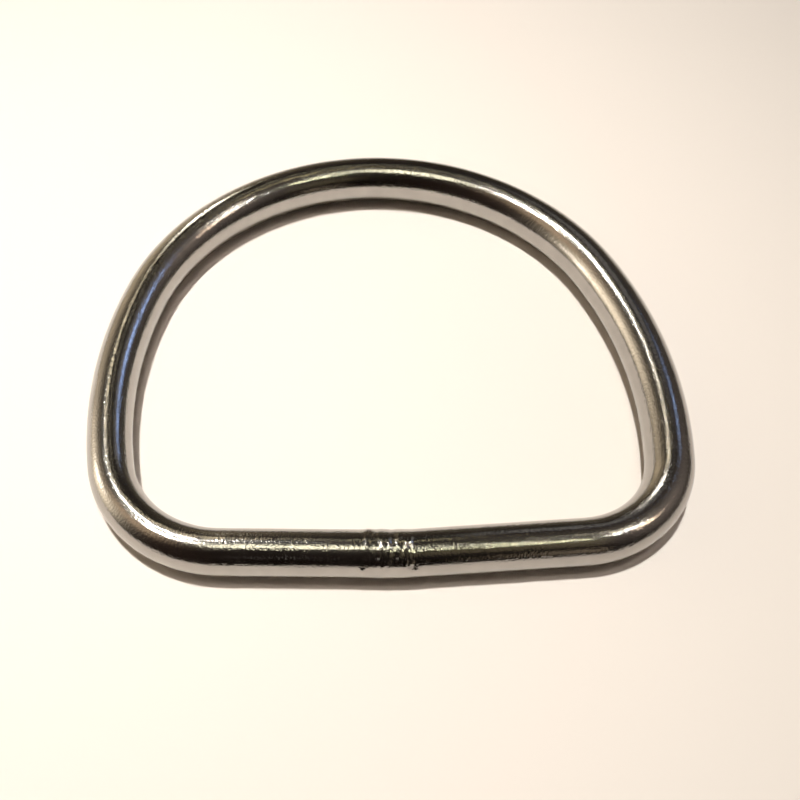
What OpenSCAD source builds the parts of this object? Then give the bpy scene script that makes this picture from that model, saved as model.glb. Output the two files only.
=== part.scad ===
// Welded D ring: one round wire bent to a D, its two ends butt welded in the
// middle of the straight bar. It lies flat, with the bar towards -Y and the
// crown of the bow towards +Y.

/* [Wire] */
// Diameter of the round wire
wire_d = 4.5; // [3:0.1:7]

/* [Opening] */
// Clear width between the two sides, at the widest place
inner_w = 50.8; // [40:0.1:80]
// Clear height from the bar, at its weld, up to the crown
inner_h = 45.9; // [40:0.1:70]

/* [Bow] */
// Half of the angle that the crown's arc spans
crown_half_angle = 69; // [60:0.5:80]
// How far the radius of each side goes beyond half of the ring's width
side_r_extra = 18; // [5:0.5:40]

/* [Corners] */
// Inside radius of the left corner, the softer one
corner_left_r = 9.3; // [4:0.1:14]
// Inside radius of the right corner
corner_right_r = 7.9; // [4:0.1:14]

/* [Bar] */
// Angle at which the left half of the bar rises from the weld
rise_left = 4; // [2:0.1:6]
// Angle at which the right half of the bar rises from the weld
rise_right = 0.9; // [0.5:0.1:4]

/* [Weld] */
// Height of the weld's two ridges above the wire
ridge_proud = 0.12; // [0.08:0.01:0.3]
// Distance of the left ridge from the middle of the bar
ridge_left_at = 1.6; // [1.4:0.05:2]
// Radius of the left ridge's rounded crest, the broader one
ridge_left_crest_r = 1.6; // [1:0.05:2]
// Distance of the right ridge from the middle of the bar
ridge_right_at = 0.2; // [0.1:0.05:0.6]
// Radius of the right ridge's rounded crest
ridge_right_crest_r = 0.9; // [0.8:0.05:1.4]
// Depth of the groove between the ridges, under the wire's surface
groove_depth = 0.05; // [0.02:0.01:0.2]

/* [Hidden] */
$fn = 96;

wire_r = wire_d / 2;
// Lengths of wire that share a tangent differ by this much in radius, and the
// slimmer one runs this far into the fuller one, so that each pair meets in
// one clean edge.
joint_step = 0.01;
joint_lap = 0.2;
// The weld is ground off underneath, a hair above the wire's lowest line, so
// that the ring rests on the wire alone.
ground_off = 0.03;
// Each ridge's arc spans this angle to either side of its crest, in flat steps
ridge_half_angle = 70;
ridge_steps = 14;

// The route of the wire's centre line. Angles are counted from +X, and heights
// from the point where the two halves of the bar meet, in the weld.
half_w = inner_w / 2 + wire_r;
line_h = inner_h + wire_d;
side_line_r = half_w + side_r_extra;
// The crown's arc and the side's arc share a tangent where they meet, and the
// side just reaches half_w.
crown_line_r = side_line_r - side_r_extra / sin(crown_half_angle);
crown_c = [0, line_h - crown_line_r];
// The weld's axis halves the slight bend between the two halves of the bar
weld_tilt = (rise_right - rise_left) / 2;

// Everything below is worked out for the left half, with -X outwards. The
// right half is its mirror image, with its own corner and rise.
function side_c() =
    crown_c - (side_line_r - crown_line_r) * [-sin(crown_half_angle), cos(crown_half_angle)];
function bar_dir(rise) = [-cos(rise), sin(rise)];
function bar_up(rise) = [sin(rise), cos(rise)];
// Length of the straight half bar: the corner's arc touches the bar and the
// side's arc, which fixes where its centre lies along the bar.
function bar_len(corner_line_r, rise) =
    let (q = corner_line_r * bar_up(rise) - side_c())
    let (along = q * bar_dir(rise), across = q * bar_up(rise))
    sqrt(pow(side_line_r - corner_line_r, 2) - across * across) - along;
function corner_c(corner_line_r, rise) =
    corner_line_r * bar_up(rise) + bar_len(corner_line_r, rise) * bar_dir(rise);
// Angle, from +Y towards -X, at which the side's arc hands over to the corner's
function side_end(corner_line_r, rise) =
    let (v = corner_c(corner_line_r, rise) - side_c())
    atan2(-v[0], v[1]);

// An arc of wire round a centre, between two angles counted from +X
module wire_arc(centre, line_r, from, to, r = wire_r) {
    translate([centre[0], centre[1], 0])
        rotate([0, 0, from])
            rotate_extrude(angle = to - from)
                translate([line_r, 0])
                    circle(r = r);
}

// An arc of the slimmer wire, which runs on into the arcs at both of its ends
module slim_arc(centre, line_r, from, to) {
    lap = joint_lap / line_r * 180 / PI;
    wire_arc(centre, line_r, from - lap, to + lap, wire_r - joint_step);
}

// The straight half bar, from inside the weld to just inside the corner
module half_bar(rise, from, to) {
    rotate([0, 0, 180 - rise])
        translate([from, 0, 0])
            rotate([0, 90, 0])
                cylinder(r = wire_r - joint_step, h = to - from + joint_lap);
}

// Half bar, corner and side of the left half
module half_ring(corner_r, rise, weld_end) {
    corner_line_r = corner_r + wire_r;
    turn = side_end(corner_line_r, rise);
    half_bar(rise, weld_end, bar_len(corner_line_r, rise));
    wire_arc(corner_c(corner_line_r, rise), corner_line_r, 90 + turn, 270 - rise);
    slim_arc(side_c(), side_line_r, 90 + crown_half_angle, 90 + turn);
}

module crown() {
    wire_arc(crown_c, crown_line_r, 90 - crown_half_angle, 90 + crown_half_angle);
}

// The outline of a ridge, to be turned round +Y: an arc over the wire's surface
// that ends well inside the wire on both sides
module ridge_outline(at, crest_r) {
    reach = crest_r * sin(ridge_half_angle);
    polygon([
        [0, at - reach],
        for (i = [0:ridge_steps])
            let (a = ridge_half_angle * (2 * i / ridge_steps - 1))
            [wire_r + ridge_proud - crest_r * (1 - cos(a)), at + crest_r * sin(a)],
        [0, at + reach]
    ]);
}

// The weld bead: two ridges and the groove between them, turned round the wire
module weld_bead() {
    rotate_extrude() {
        ridge_outline(-ridge_left_at, ridge_left_crest_r);
        ridge_outline(ridge_right_at, ridge_right_crest_r);
        translate([0, -ridge_left_at])
            square([wire_r - groove_depth, ridge_left_at + ridge_right_at]);
    }
}

// The bead in its place, ground flat underneath
module weld() {
    block = 2 * wire_d;
    difference() {
        rotate([0, 0, weld_tilt])
            rotate([0, 90, 0])
                weld_bead();
        translate([-inner_w / 4, -block / 2, ground_off - wire_r - block])
            cube([inner_w / 2, block, block]);
    }
}

module d_ring() {
    color("silver")
        translate([0, -(line_h - ridge_proud) / 2, wire_r]) {
            crown();
            half_ring(corner_left_r, rise_left, ridge_left_at);
            mirror([1, 0, 0]) half_ring(corner_right_r, rise_right, ridge_right_at);
            weld();
        }
}

d_ring();
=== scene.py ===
# Looks for the welded D ring: one polished round wire bent to a D, lying flat
# on a pale table, seen from above the straight bar.

import math

import bpy
import numpy as np
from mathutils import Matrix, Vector


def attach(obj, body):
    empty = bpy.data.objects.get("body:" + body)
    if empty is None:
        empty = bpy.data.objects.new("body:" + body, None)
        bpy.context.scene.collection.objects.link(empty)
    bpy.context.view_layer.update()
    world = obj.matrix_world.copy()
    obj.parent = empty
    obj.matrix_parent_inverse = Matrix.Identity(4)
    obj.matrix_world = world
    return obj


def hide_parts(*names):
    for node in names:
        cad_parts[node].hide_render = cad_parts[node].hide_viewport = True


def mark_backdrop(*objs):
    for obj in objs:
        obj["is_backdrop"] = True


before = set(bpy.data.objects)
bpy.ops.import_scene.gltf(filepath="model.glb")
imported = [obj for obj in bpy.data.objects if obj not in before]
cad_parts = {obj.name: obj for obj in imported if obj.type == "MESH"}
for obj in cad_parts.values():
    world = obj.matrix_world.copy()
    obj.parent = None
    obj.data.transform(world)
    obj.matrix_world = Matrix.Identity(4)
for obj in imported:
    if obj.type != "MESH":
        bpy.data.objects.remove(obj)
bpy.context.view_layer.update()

MM = 0.001

# Sizes of the ring in millimetres and degrees, the same as the part's
WIRE_D = 4.5
INNER_W = 50.8
INNER_H = 45.9
CROWN_HALF_ANGLE = math.radians(69)
SIDE_R_EXTRA = 18
CORNER_LEFT_R = 9.3
CORNER_RIGHT_R = 7.9
RISE_LEFT = math.radians(4)
RISE_RIGHT = math.radians(0.9)
RIDGE_PROUD = 0.12

WIRE_R = WIRE_D / 2
HALF_W = INNER_W / 2 + WIRE_R
LINE_H = INNER_H + WIRE_D
SIDE_LINE_R = HALF_W + SIDE_R_EXTRA
CROWN_LINE_R = SIDE_LINE_R - SIDE_R_EXTRA / math.sin(CROWN_HALF_ANGLE)
CROWN_C = np.array([0, LINE_H - CROWN_LINE_R])
SIDE_C = CROWN_C - (SIDE_LINE_R - CROWN_LINE_R) * np.array(
    [-math.sin(CROWN_HALF_ANGLE), math.cos(CROWN_HALF_ANGLE)])
SHIFT_Y = -(LINE_H - RIDGE_PROUD) / 2
# The two halves of the bar meet in a slight bend that spans this much each way
BEND_REACH = 1.5
# The weld's relief fades out this far from the middle of the bar
WELD_REACH = 4.3
WELD_FADE = 0.35
# Points round the wire, and their distance along it at the weld and elsewhere
AROUND = 96
FINE_SPACING, COARSE_SPACING = 0.035, 0.26


def half_route(corner_r, rise):
    """The left half of the wire's centre line as pieces: (length, function of the distance along it)."""
    line_r = corner_r + WIRE_R
    along = np.array([-math.cos(rise), math.sin(rise)])
    up = np.array([math.sin(rise), math.cos(rise)])
    q = line_r * up - SIDE_C
    bar = math.sqrt((SIDE_LINE_R - line_r) ** 2 - (q @ up) ** 2) - q @ along
    corner_c = line_r * up + bar * along
    v = corner_c - SIDE_C
    turn = math.atan2(-v[0], v[1])

    def straight(s):
        return s[:, None] * along, np.full(len(s), math.atan2(along[1], along[0]))

    def arc(centre, radius, start):
        def at(s):
            a = start - s / radius
            return (centre + radius * np.stack([np.cos(a), np.sin(a)], 1), a - math.pi / 2)
        return at

    corner_from, corner_to = 1.5 * math.pi - rise, 0.5 * math.pi + turn
    side_to = 0.5 * math.pi + CROWN_HALF_ANGLE
    return [
        (bar, straight),
        (line_r * (corner_from - corner_to), arc(corner_c, line_r, corner_from)),
        (SIDE_LINE_R * (corner_to - side_to), arc(SIDE_C, SIDE_LINE_R, corner_to)),
        (CROWN_LINE_R * CROWN_HALF_ANGLE, arc(CROWN_C, CROWN_LINE_R, side_to)),
    ]


def half_points(s, corner_r, rise):
    """Points and headings of the left half at distances s from the middle of the weld."""
    points = np.zeros((len(s), 2))
    heading = np.zeros(len(s))
    start = 0.0
    pieces = half_route(corner_r, rise)
    for i, (length, at) in enumerate(pieces):
        last = i == len(pieces) - 1
        here = (s >= start) & ((s < start + length) | last)
        if here.any():
            points[here], heading[here] = at(s[here] - start)
        start += length
    return points, heading


def half_length(corner_r, rise):
    return sum(length for length, _ in half_route(corner_r, rise))


LEFT_LEN = half_length(CORNER_LEFT_R, RISE_LEFT)
RIGHT_LEN = half_length(CORNER_RIGHT_R, RISE_RIGHT)
WIRE_LEN = LEFT_LEN + RIGHT_LEN


def route(s):
    """Centre line at distances s from the weld, leftwards along the bar and round.

    Gives the points and the outward directions."""
    left = s <= LEFT_LEN
    points = np.zeros((len(s), 2))
    heading = np.zeros(len(s))
    points[left], heading[left] = half_points(s[left], CORNER_LEFT_R, RISE_LEFT)
    right_p, right_h = half_points(WIRE_LEN - s[~left], CORNER_RIGHT_R, RISE_RIGHT)
    # The right half is mirrored and runs the other way
    points[~left] = right_p * [-1, 1]
    heading[~left] = -right_h
    out = np.stack([-np.sin(heading), np.cos(heading)], 1)
    # The kink at the weld becomes a short parabola
    x = np.where(left, -s, WIRE_LEN - s)
    a_l, a_r, b = math.tan(RISE_LEFT), math.tan(RISE_RIGHT), BEND_REACH
    near = np.abs(x) < b
    y = (a_l + a_r) * b / 4 + (a_r - a_l) / 2 * x + (a_l + a_r) / (4 * b) * x * x
    slope = (a_r - a_l) / 2 + (a_l + a_r) / (2 * b) * x
    points[near] = np.stack([x, y], 1)[near]
    bend_out = np.stack([slope, -np.ones(len(s))], 1)
    bend_out /= np.linalg.norm(bend_out, axis=1, keepdims=True)
    out[near] = bend_out[near]
    return points + [0, SHIFT_Y], out


def bell(x, centre, width):
    return np.exp(-((x - centre) / width) ** 2)


def step(x, at, width):
    return 0.5 * (1 + np.tanh((x - at) / width))


def waves(x, y, seed):
    """Smooth unevenness between about -1 and 1, the same on every run."""
    terms = 7
    rng = np.random.default_rng(seed)
    total = np.zeros(np.broadcast(x, y).shape)
    for _ in range(terms):
        fx, fy = rng.uniform(0.6, 3.2), rng.integers(1, 7)
        total = total + rng.uniform(0.5, 1) * np.sin(fx * x * 2 + fy * y + rng.uniform(0, 6.3))
    return total / (0.6 * terms)


# The weld, in millimetres along the bar from its middle. The bead's ends and how soft they are
BEAD_FROM, BEAD_TO, BEAD_HEIGHT = -3.33, 0.88, 0.024
BEAD_FROM_SOFT, BEAD_TO_SOFT = 0.20, 0.18
# The left ridge, broad and smooth
RIDGE_FROM, RIDGE_TO, RIDGE_HEIGHT = -2.15, -1.05, 0.034
RIDGE_FROM_SOFT, RIDGE_TO_SOFT = 0.20, 0.26
# The left ridge's two crests, the groove and the right ridge's two crests: place,
# share of the sway, width, height, and whether it is rough
CRESTS = [
    (-1.80, 1.0, 0.22, 0.024, True),
    (-1.28, 1.3, 0.17, 0.026, True),
    (-0.82, 0.6, 0.30, -0.030, False),
    (-0.22, -0.5, 0.36, 0.030, False),
    (0.36, 0.0, 0.25, 0.024, True),
]
# Height of the unevenness that remains, coarse and fine
UNEVEN_COARSE, UNEVEN_FINE = 0.010, 0.004


def weld_relief(x, turn):
    """Height over the wire in millimetres, at x along the bar from its middle.

    The turn is in degrees, from the top towards the bar's outside."""
    t = np.radians(turn)
    sway = 0.09 * np.sin(2.1 * t + 0.6) + 0.05 * np.sin(5.3 * t)
    # The bead is smoother on its inner side and roughest along the top
    sharp = 0.3 + 0.7 * step(turn, -6, 7) * (1 - 0.55 * step(turn, 24, 6))
    zone = step(x, BEAD_FROM + 0.05 * np.sin(3 * t), BEAD_FROM_SOFT)
    zone = zone * (1 - step(x, BEAD_TO + 0.07 * np.sin(2 * t + 1), BEAD_TO_SOFT))
    h = BEAD_HEIGHT * zone
    ridge = step(x, RIDGE_FROM + sway, RIDGE_FROM_SOFT) * (1 - step(x, RIDGE_TO + sway, RIDGE_TO_SOFT))
    h = h + RIDGE_HEIGHT * ridge
    for place, share, width, height, rough in CRESTS:
        h = h + height * bell(x, place + share * sway, width) * (sharp if rough else 1)
    for px, pt, reach, rim, pit in PITS:
        d = np.hypot(x - px, (turn - pt) * math.pi / 180 * WIRE_R) / reach
        h = h + rim * bell(d, 1.0, 0.45) - pit * bell(d, 0.0, 0.62)
    for bx, bt, along, around, height in BEADS:
        h = h + height * bell(x, bx, along) * bell(turn, bt, around)
    coarse = UNEVEN_COARSE * waves(x * 1.6, t, 4) * zone
    fine = UNEVEN_FINE * waves(x * 5.0, 2 * t, 9) * zone * sharp
    return h + coarse + fine


# Pits with a raised rim: x, turn, reach, height of the rim, depth
PITS = [
    (0.55, 9, 0.26, 0.040, 0.08),
    (-2.75, -22, 0.26, 0.012, 0.035),
    (-1.45, 78, 0.13, 0.01, 0.04),
    (1.25, 37, 0.12, 0.005, 0.025),
]
# Beads: x, turn, reach along the bar, reach round it in degrees, height
BEADS = [
    (-3.30, -9, 0.14, 5, 0.034),
    (-3.18, 9, 0.25, 8, 0.022),
    (-1.80, 11, 0.13, 7, 0.024),
    (-1.17, 6, 0.13, 8, 0.026),
    (-0.72, 16, 0.16, 6, 0.016),
    (-0.30, 12, 0.24, 6, 0.022),
    (0.76, 1, 0.13, 8, 0.032),
    (0.33, 46, 0.10, 8, 0.022),
    (0.62, 38, 0.09, 14, 0.022),
    (-0.42, 35, 0.15, 10, 0.026),
    (-1.42, 53, 0.13, 11, 0.036),
    (-2.05, 36, 0.12, 14, 0.024),
    (-2.95, -46, 0.36, 11, 0.085),
    (-3.55, 74, 0.30, 8, 0.09),
    (-1.40, 75, 0.12, 6, 0.05),
    (0.75, 51, 0.16, 6, 0.05),
    (1.05, 72, 0.42, 7, 0.08),
]


def ring_places():
    """Distances along the wire, close together at the weld."""
    first = np.arange(0, WELD_REACH, FINE_SPACING)
    count = int((WIRE_LEN - 2 * WELD_REACH) / COARSE_SPACING)
    middle = np.linspace(WELD_REACH, WIRE_LEN - WELD_REACH, count)
    last = WIRE_LEN - first[::-1][:-1]
    return np.concatenate([first, middle, last])


def wire_surface(s, turns):
    """Points on the wire in millimetres, for each distance along it and each turn round it."""
    points, out = route(s)
    rad = np.radians(turns)
    x = np.where(s < WIRE_LEN / 2, -s, WIRE_LEN - s)
    height = np.zeros((len(s), AROUND))
    near = np.abs(x) < WELD_REACH
    height[near] = weld_relief(x[near][:, None], turns[None, :])
    height *= (1 - step(np.abs(x), WELD_REACH - WELD_FADE, 0.1))[:, None]
    r = WIRE_R + height
    co = np.zeros((len(s), AROUND, 3))
    co[..., 0] = points[:, None, 0] + r * np.sin(rad)[None, :] * out[:, None, 0]
    co[..., 1] = points[:, None, 1] + r * np.sin(rad)[None, :] * out[:, None, 1]
    co[..., 2] = WIRE_R + r * np.cos(rad)[None, :]
    # The weld is ground off flush with the wire underneath
    co[..., 2] = np.maximum(co[..., 2], 0.0)
    return co


def closed_tube_faces(n, m):
    """Faces of n rings of m points each, joined in a closed loop."""
    ring = np.arange(n)
    here = (ring[:, None] * m + np.arange(m)[None, :])
    nxt = (((ring + 1) % n)[:, None] * m + np.arange(m)[None, :])
    return np.stack([here, np.roll(here, -1, 1), np.roll(nxt, -1, 1), nxt], -1).reshape(-1, 4)


def mark_straight(mesh, s, turns):
    """Tells the material where each corner lies on the straightened wire, in millimetres."""
    n, m = len(s), len(turns)
    s_next = np.append(s[1:], WIRE_LEN)
    turn_next = np.append(turns[1:], -180.0)
    cs = np.stack([s, s, s_next, s_next], 1)[:, None, :].repeat(m, 1)
    ct = np.stack([turns, turn_next, turn_next, turns], 1)[None, :, :].repeat(n, 0)
    flat = np.stack([cs, WIRE_R * np.sin(np.radians(ct)), WIRE_R * np.cos(np.radians(ct))], -1)
    straight = mesh.attributes.new("straight", "FLOAT_VECTOR", "CORNER")
    straight.data.foreach_set("vector", flat.reshape(-1).astype(np.float32))


def build_ring():
    s = ring_places()
    turns = np.linspace(180, -180, AROUND, endpoint=False)
    faces = closed_tube_faces(len(s), AROUND)
    mesh = bpy.data.meshes.new("ring")
    mesh.from_pydata((wire_surface(s, turns).reshape(-1, 3) * MM).tolist(), [], faces.tolist())
    mesh.polygons.foreach_set("use_smooth", np.ones(len(faces), bool))
    mark_straight(mesh, s, turns)
    mesh.update()
    obj = bpy.data.objects.new("ring_wire", mesh)
    bpy.context.scene.collection.objects.link(obj)
    return obj


class Nodes:
    """Short names for making and joining shader nodes."""

    def __init__(self, tree):
        self.tree = tree

    def add(self, kind, inputs=(), **settings):
        node = self.tree.nodes.new(kind)
        for name, value in settings.items():
            setattr(node, name, value)
        for name, value in dict(inputs).items():
            if isinstance(value, bpy.types.NodeSocket):
                self.tree.links.new(value, node.inputs[name])
            else:
                node.inputs[name].default_value = value
        return node

    def math(self, operation, a, b=0.0):
        return self.add("ShaderNodeMath", {0: a, 1: b}, operation=operation).outputs[0]

    def ramp(self, value, stops):
        node = self.add("ShaderNodeValToRGB", {"Fac": value})
        ramp = node.color_ramp
        while len(ramp.elements) < len(stops):
            ramp.elements.new(0.5)
        for element, (at, colour) in zip(ramp.elements, stops):
            element.position = at
            element.color = (*colour, 1)
        return node

    def noise(self, vector, scale, detail, rough):
        return self.add("ShaderNodeTexNoise", {
            "Vector": vector, "Scale": scale, "Detail": detail, "Roughness": rough}).outputs["Fac"]

    def stretched(self, vector, scale):
        return self.add("ShaderNodeVectorMath", {0: vector, 1: scale}, operation="MULTIPLY").outputs[0]


# Shares of the metal's relief: ticks across the wire, draw lines along it, grain
# and pits, and the height of the whole in millimetres
TICKS, DRAW_LINES, GRAIN, PIT_DEPTH = 0.5, 0.4, 1.1, 0.3
RELIEF_HEIGHT = 0.021


def steel():
    material = bpy.data.materials.new("polished_steel_wire")
    material.use_nodes = True
    tree = material.node_tree
    tree.nodes.clear()
    n = Nodes(tree)
    place = n.add("ShaderNodeAttribute", attribute_name="straight").outputs["Vector"]

    # Ticks across the wire, draw lines along it, grain and fine pits
    across = n.noise(n.stretched(place, (6.0, 0.9, 0.9)), 1.0, 1.0, 0.5)
    along = n.noise(n.stretched(place, (0.15, 4.0, 4.0)), 1.0, 1.0, 0.5)
    fine = n.noise(place, 4.8, 1.0, 0.5)
    cells = n.add("ShaderNodeTexVoronoi", {"Vector": place, "Scale": 2.2, "Randomness": 1.0})
    pit = n.ramp(cells.outputs["Distance"], [(0.0, (1, 1, 1)), (0.14, (0, 0, 0))]).outputs["Color"]
    patches = n.noise(place, 0.22, 2.0, 0.5)
    coarse = n.ramp(patches, [(0.42, (0.7, 0.7, 0.7)), (0.6, (1, 1, 1))]).outputs["Color"]

    relief = n.math("ADD", n.math("MULTIPLY", across, TICKS), n.math("MULTIPLY", along, DRAW_LINES))
    relief = n.math("ADD", relief, n.math("MULTIPLY", fine, GRAIN))
    relief = n.math("SUBTRACT", relief, n.math("MULTIPLY", pit, PIT_DEPTH))
    relief = n.math("MULTIPLY", relief, coarse)
    bump = n.add("ShaderNodeBump", {"Strength": 1.0, "Distance": RELIEF_HEIGHT * MM, "Height": relief})

    tint = n.ramp(n.noise(place, 0.5, 3.0, 0.55), [
        (0.3, (0.385, 0.37, 0.35)), (0.7, (0.435, 0.415, 0.39))]).outputs["Color"]
    rough = n.math("ADD", 0.12, n.math("MULTIPLY", n.noise(place, 1.3, 3.0, 0.6), 0.08))

    bsdf = n.add("ShaderNodeBsdfPrincipled", {
        "Base Color": tint, "Metallic": 1.0, "Roughness": rough, "Normal": bump.outputs["Normal"]})
    output = n.add("ShaderNodeOutputMaterial")
    tree.links.new(bsdf.outputs["BSDF"], output.inputs["Surface"])
    return material


ring = build_ring()
ring.data.materials.append(steel())
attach(ring, "root")
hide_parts("d_ring")


# The floor's colour carries a painted pool of light: palest at one place and darker away from it, down to a
# share
FLOOR_COLOUR = (0.90, 0.84, 0.78)
FLOOR_PAINTED_LIGHT_AT = (-0.047, 0.011, 0)
FLOOR_PAINTED_LIGHT_REACH = 0.17
FLOOR_PAINTED_LIGHT_FAR_SHARE = 0.55
FLOOR_HALF = 1.6


def floor_plane():
    """A floor with a painted pool of light: its colour is palest to the left of the ring and darker away from
    it.
    """
    corners = [(x * FLOOR_HALF, y * FLOOR_HALF, 0) for x, y in ((-1, -1), (1, -1), (1, 1), (-1, 1))]
    mesh = bpy.data.meshes.new("floor")
    mesh.from_pydata(corners, [], [(0, 1, 2, 3)])
    obj = bpy.data.objects.new("floor", mesh)
    bpy.context.scene.collection.objects.link(obj)
    material = bpy.data.materials.new("pale_floor_painted_light")
    material.use_nodes = True
    n = Nodes(material.node_tree)
    bsdf = material.node_tree.nodes["Principled BSDF"]
    place = n.add("ShaderNodeTexCoord").outputs["Object"]
    # Painted pool of light: the floor's colour is scaled down with distance from one place
    gap = n.add("ShaderNodeVectorMath", {0: place, 1: FLOOR_PAINTED_LIGHT_AT}, operation="DISTANCE")
    away = gap.outputs["Value"]
    light = n.math("EXPONENT", n.math("MULTIPLY", n.math("MULTIPLY", away, away), -1 / FLOOR_PAINTED_LIGHT_REACH ** 2))
    light = n.math("MAXIMUM", light, FLOOR_PAINTED_LIGHT_FAR_SHARE)
    floor_with_painted_light = n.add("ShaderNodeVectorMath", {0: FLOOR_COLOUR, "Scale": light}, operation="SCALE").outputs[0]
    material.node_tree.links.new(floor_with_painted_light, bsdf.inputs["Base Color"])
    bsdf.inputs["Roughness"].default_value = 0.8
    bsdf.inputs["Specular IOR Level"].default_value = 0.1
    mesh.materials.append(material)
    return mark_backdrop(obj)


floor_plane()


def direction(elevation, azimuth):
    e, a = math.radians(elevation), math.radians(azimuth)
    return Vector((math.cos(e) * math.cos(a), math.cos(e) * math.sin(a), math.sin(e)))


def lamp(name, elevation, azimuth, distance, reach, light, on_floor=True, on_metal=True, sideways=None,
         aim=(0, 0, 0), beam=180):
    """A round lamp facing the point aim: reach is half of its angle, sideways the same for its width if
    that differs, light the irradiance it gives there, and beam the angle over which it shines."""
    data = bpy.data.lights.new(name, "AREA")
    data.shape = "ELLIPSE"
    data.size = 2 * distance * math.tan(math.radians(sideways or reach))
    data.size_y = 2 * distance * math.tan(math.radians(reach))
    strongest = max(light)
    data.energy = math.pi * distance ** 2 * strongest
    data.color = [v / strongest for v in light]
    data.spread = math.radians(beam)
    obj = bpy.data.objects.new(name, data)
    towards = direction(elevation, azimuth)
    obj.location = Vector(aim) + towards * distance
    obj.rotation_euler = towards.to_track_quat("Z", "Y").to_euler()
    obj.visible_diffuse = on_floor
    obj.visible_glossy = on_metal
    bpy.context.scene.collection.objects.link(obj)
    return obj


# Elevation and azimuth in degrees, distance in metres, reach in degrees, and
# the light it gives. The first two light the floor and cast the shadow, and the
# others are seen in the metal.
lamp("key_lamp", 80, 137, 0.8, 2.0, (3.42, 3.33, 3.18), on_metal=False)
lamp("fill_lamp", 83.5, -45, 0.8, 4.0, (0.52, 0.455, 0.40), on_metal=False)
lamp("ceiling_lamp", 67.5, 151.4, 2.5, 2.0, (0.62, 0.60, 0.54), on_floor=False)
lamp("back_lamp", 60, 117, 2.5, 2.0, (0.36, 0.35, 0.32), on_floor=False)
lamp("crown_kicker", 34, 100, 0.09, 3.0, (0.0027, 0.0026, 0.0022), on_floor=False,
     aim=(-0.017, 0.017, 0.004), beam=22)
lamp("corner_kicker", 37, 88, 0.07, 3.0, (0.0012, 0.00115, 0.00105), on_floor=False,
     aim=(0.0245, -0.0165, 0.004), beam=10)
lamp("left_wall_lamp", 19, 168, 0.15, 6.0, (0.095, 0.0915, 0.084), on_floor=False)
lamp("right_lamp", 56, -7, 1.12, 1.5, (0.17, 0.172, 0.163), on_floor=False)
lamp("right_low_lamp", 45, -8, 2.5, 3, (0.108, 0.082, 0.060), on_floor=False)
lamp("right_near_lamp", 61, 12, 1.18, 1.5, (0.037, 0.033, 0.025), on_floor=False)
lamp("front_lamp", 67, -46, 2.5, 1.5, (0.08, 0.079, 0.053), on_floor=False)
lamp("front_top_lamp", 77, -42, 2.5, 1.5, (0.045, 0.044, 0.035), on_floor=False)
lamp("back_low_lamp", 47, 104, 2.5, 4, (0.05, 0.043, 0.030), on_floor=False)
lamp("camera_glow", 84.4, -144, 0.38, 8, (0.26, 0.25, 0.19), on_floor=False)
lamp("window", 41, 36, 0.25, 2.2, (0.0025, 0.0037, 0.0062), on_floor=False)
lamp("right_window", 43, 50, 0.07, 1.5, (0.000016, 0.000024, 0.000046), on_floor=False, sideways=6,
     aim=(0.0285, -0.010, 0.004), beam=18)
lamp("left_window", 33, 38, 0.164, 1.5, (0.0012, 0.0018, 0.0033), on_floor=False, sideways=13,
     aim=(-0.026, 0.002, 0.004), beam=30)
lamp("wall_glow", 43, 59, 0.167, 8, (0.0135, 0.0132, 0.0127), on_floor=False)
lamp("back_glow", 55, 87, 0.233, 1.5, (0.0055, 0.005, 0.0036), on_floor=False)
lamp("high_glow", 66, 72, 0.196, 1.5, (0.0114, 0.0095, 0.0053), on_floor=False)
lamp("front_glow", 16, -65, 0.17, 8, (0.0150, 0.0118, 0.0085), on_floor=False)
lamp("weld_glint", 37, -113, 0.08, 6, (0.00020, 0.000195, 0.00018), on_floor=False,
     aim=(0, -0.026, 0.004), beam=16)
lamp("front_high_glow", 47, -61, 0.17, 12, (0.013, 0.011, 0.006), on_floor=False)


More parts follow.
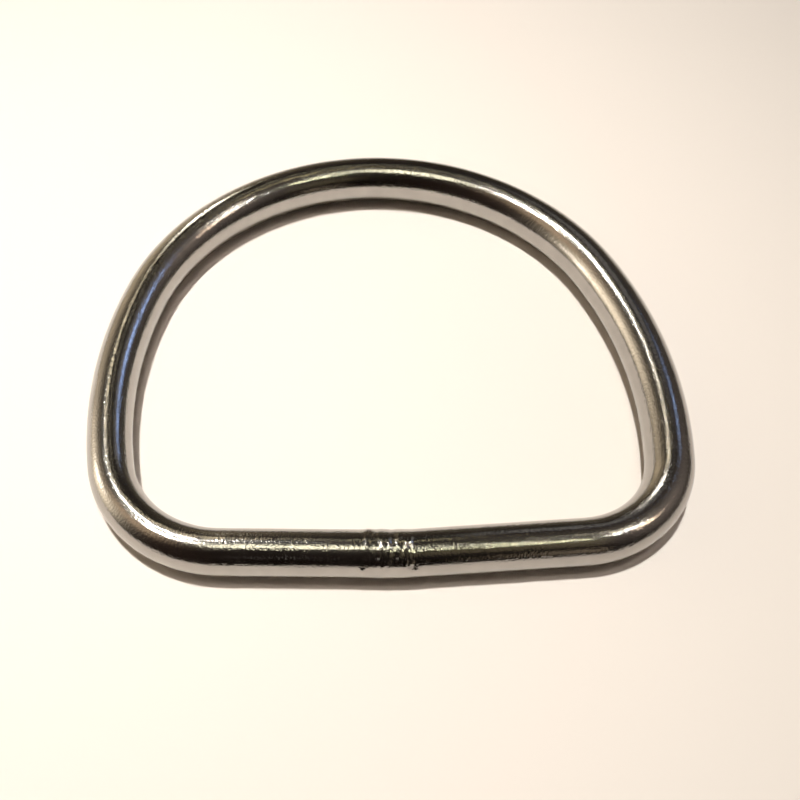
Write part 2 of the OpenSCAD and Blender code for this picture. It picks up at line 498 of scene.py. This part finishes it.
def surroundings():
    """A dim warm room, lighter behind and to the left, given as soft lobes round chosen directions."""
    world = bpy.data.worlds.new("room")
    bpy.context.scene.world = world
    world.use_nodes = True
    tree = world.node_tree
    tree.nodes.clear()
    n = Nodes(tree)
    ray = n.add("ShaderNodeTexCoord").outputs["Generated"]
    total = None
    for elevation, azimuth, spread, colour in ROOM:
        middle = direction(elevation, azimuth)
        facing = n.add("ShaderNodeVectorMath", {0: ray, 1: middle}, operation="DOT_PRODUCT")
        sharp = 1 / (1 - math.cos(math.radians(spread)))
        lobe = n.math("EXPONENT", n.math("MULTIPLY", n.math("SUBTRACT", facing.outputs["Value"], 1.0), sharp))
        tinted = n.add("ShaderNodeVectorMath", {0: colour, "Scale": lobe}, operation="SCALE").outputs[0]
        total = tinted if total is None else n.add(
            "ShaderNodeVectorMath", {0: total, 1: tinted}, operation="ADD").outputs[0]
    background = n.add("ShaderNodeBackground", {"Color": total, "Strength": 1.0})
    output = n.add("ShaderNodeOutputWorld")
    tree.links.new(background.outputs["Background"], output.inputs["Surface"])


# Elevation, azimuth and spread in degrees, and the colour at the lobe's middle
ROOM = [
    (14, 162, 19.5, (2.55, 2.19, 1.67)),
    (10, 116, 19.5, (0.85, 0.69, 0.47)),
    (51, 173, 15, (0.82, 0.60, 0.395)),
    (38, 3, 33, (0.26, 0.216, 0.186)),
    (-10, 62, 22, (0.28, 0.245, 0.18)),
    (27, -140, 38, (0.032, 0.02, 0.015)),
]
surroundings()


# Where the camera stands, in millimetres, and its turn in degrees, fitted to the
# ring's outlines at a focal length that was chosen
CAMERA_AT = (-8.7985, -59.5009, 67.4138)
CAMERA_TURN = (24.970, 1.084, -2.751)


def camera():
    """The photograph's view."""
    data = bpy.data.cameras.new("camera")
    data.sensor_width = 36
    data.lens = 36
    data.shift_x = 0.1132
    data.shift_y = 0.2478
    data.clip_start = 0.005
    data.clip_end = 20
    obj = bpy.data.objects.new("camera", data)
    obj.location = Vector(CAMERA_AT) * MM
    obj.rotation_euler = [math.radians(angle) for angle in CAMERA_TURN]
    bpy.context.scene.collection.objects.link(obj)
    bpy.context.scene.camera = obj


camera()
view = bpy.context.scene.view_settings
view.view_transform = "Standard"
view.look = "None"
view.exposure = 0.0
